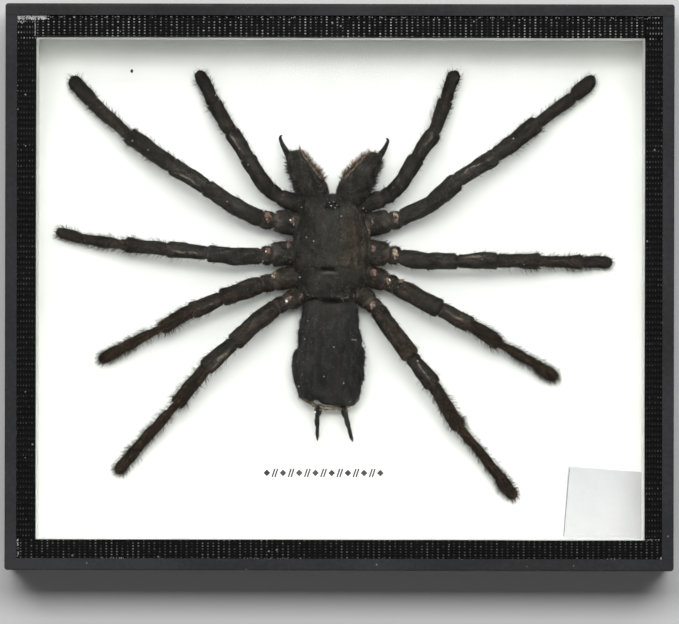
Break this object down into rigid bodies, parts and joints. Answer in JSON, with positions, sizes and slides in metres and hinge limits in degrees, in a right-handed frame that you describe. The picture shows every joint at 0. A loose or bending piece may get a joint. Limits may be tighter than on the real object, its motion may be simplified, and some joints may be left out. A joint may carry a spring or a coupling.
{
  "type": "framed tarantula specimen",
  "caption": "Large dried tarantula spread flat on white board in a glazed black wood shadow-box frame with a dark embossed tape border.",
  "frame": {"origin": "middle of the frame's back face, the lowest face as it lies on its back", "axes": "+Z out through the glass, +Y towards the top edge and the spider's head, +X to the viewer's right"},
  "size_m": [0.17, 0.144, 0.032],
  "materials": {
    "painted_wood": "black paint, satin, lightly scuffed",
    "tape": "black cloth-embossed binding tape with fine glinting dots",
    "glass": "clear, flat, with specks of dust",
    "white_board": "matt white",
    "card": "matt pale grey card, blank",
    "hardboard": "bare brown hardboard",
    "steel": "plated steel strip",
    "cuticle": "dark brown hairy cuticle, dull",
    "velvet": "short dark velvety hair",
    "fang": "smooth black horn, glossy"
  },
  "bodies": {
    "root": {"rail_top": "painted_wood", "rail_bottom": "painted_wood", "rail_left": "painted_wood", "rail_right": "painted_wood", "glass_pane": "glass", "tape_top": "tape", "tape_bottom": "tape", "tape_left": "tape", "tape_right": "tape", "lining_top": "white_board", "lining_bottom": "white_board", "lining_left": "white_board", "lining_right": "white_board", "backing_board": "white_board", "back_panel": "hardboard", "hanger": "steel", "corner_card": "card", "carapace": "cuticle", "abdomen": "velvet", "chelicera_left": "cuticle", "chelicera_right": "cuticle", "fang_left": "fang", "fang_right": "fang", "spinneret_left": "velvet", "spinneret_right": "velvet", "palp_left": "cuticle", "palp_right": "cuticle", "leg_1_left": "cuticle", "leg_1_right": "cuticle", "leg_2_left": "cuticle", "leg_2_right": "cuticle", "leg_3_left": "cuticle", "leg_3_right": "cuticle", "leg_4_left": "cuticle", "leg_4_right": "cuticle"}
  },
  "joints": []
}
